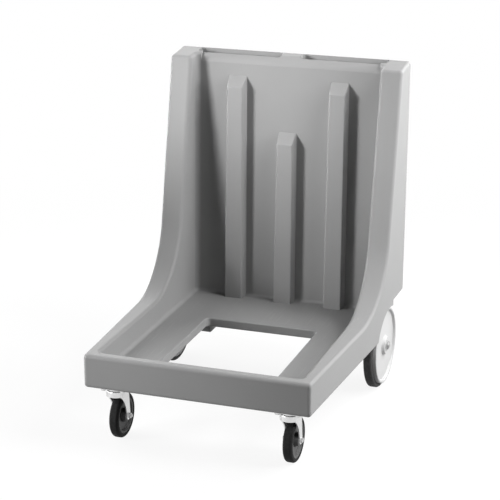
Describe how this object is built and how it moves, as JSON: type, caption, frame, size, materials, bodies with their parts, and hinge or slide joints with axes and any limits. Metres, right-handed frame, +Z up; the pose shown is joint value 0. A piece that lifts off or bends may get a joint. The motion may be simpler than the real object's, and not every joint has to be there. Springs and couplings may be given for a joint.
{
  "type": "food carrier dolly",
  "caption": "Tall-backed moulded tray dolly for stacked food carriers, with large rear wheels on a through axle and swivel casters in front.",
  "frame": {"origin": "on the ground under the middle of the object's bounding box", "axes": "+Z up, -Y towards the open front of the tray, +X to the right as seen from the front"},
  "size_m": [0.712, 0.856, 0.9447],
  "materials": {
    "moulded_body": "satin moulded grain",
    "wheel_disc": "smooth moulded",
    "rear_rubber": "matt rubber",
    "caster_rubber": "matt rubber",
    "caster_core": "satin",
    "zinc_sheet": "bright zinc plate",
    "zinc_hardware": "zinc plate",
    "axle_steel": "turned steel",
    "ball_steel": "polished",
    "nylon_bush": "plain",
    "brass_insert": "machined"
  },
  "bodies": {
    "frame": {"body": "moulded_body", "caster_inserts": "brass_insert", "rear_axle": "axle_steel", "caster_bolts": "zinc_hardware", "caster_washers": "zinc_hardware", "left_axle_tube": "axle_steel", "left_inner_washer": "zinc_hardware", "left_outer_washer": "zinc_hardware", "left_axle_clip": "axle_steel", "left_caster_plate": "zinc_sheet", "left_swivel_balls": "ball_steel", "left_king_pin": "zinc_hardware", "right_axle_tube": "axle_steel", "right_inner_washer": "zinc_hardware", "right_outer_washer": "zinc_hardware", "right_axle_clip": "axle_steel", "right_caster_plate": "zinc_sheet", "right_swivel_balls": "ball_steel", "right_king_pin": "zinc_hardware"},
    "left_caster": {"left_caster_fork": "zinc_sheet", "left_caster_sleeve": "axle_steel", "left_caster_axle_bolt": "zinc_hardware", "left_caster_axle_nut": "zinc_hardware"},
    "left_caster_roller": {"left_caster_core": "caster_core", "left_caster_tread": "caster_rubber", "left_caster_bush": "nylon_bush"},
    "left_rear_roller": {"left_rear_wheel": "wheel_disc", "left_rear_tyre": "rear_rubber", "left_rear_bearing": "nylon_bush"},
    "right_caster": {"right_caster_fork": "zinc_sheet", "right_caster_sleeve": "axle_steel", "right_caster_axle_bolt": "zinc_hardware", "right_caster_axle_nut": "zinc_hardware"},
    "right_caster_roller": {"right_caster_core": "caster_core", "right_caster_tread": "caster_rubber", "right_caster_bush": "nylon_bush"},
    "right_rear_roller": {"right_rear_wheel": "wheel_disc", "right_rear_tyre": "rear_rubber", "right_rear_bearing": "nylon_bush"}
  },
  "joints": [
    {"name": "left_caster_swivel", "type": "hinge", "parent": "frame", "child": "left_caster", "pos_m": [-0.249, -0.374, 0.157], "axis": [0, 0, 1], "continuous": true},
    {"name": "left_caster_roll", "type": "hinge", "parent": "left_caster", "child": "left_caster_roller", "pos_m": [-0.249, -0.34, 0.0635], "axis": [1, 0, 0], "continuous": true},
    {"name": "left_rear_roll", "type": "hinge", "parent": "frame", "child": "left_rear_roller", "pos_m": [-0.323, 0.25, 0.127], "axis": [1, 0, 0], "continuous": true},
    {"name": "right_caster_swivel", "type": "hinge", "parent": "frame", "child": "right_caster", "pos_m": [0.249, -0.374, 0.157], "axis": [0, 0, 1], "continuous": true},
    {"name": "right_caster_roll", "type": "hinge", "parent": "right_caster", "child": "right_caster_roller", "pos_m": [0.249, -0.34, 0.0635], "axis": [1, 0, 0], "continuous": true},
    {"name": "right_rear_roll", "type": "hinge", "parent": "frame", "child": "right_rear_roller", "pos_m": [0.323, 0.25, 0.127], "axis": [1, 0, 0], "continuous": true}
  ]
}
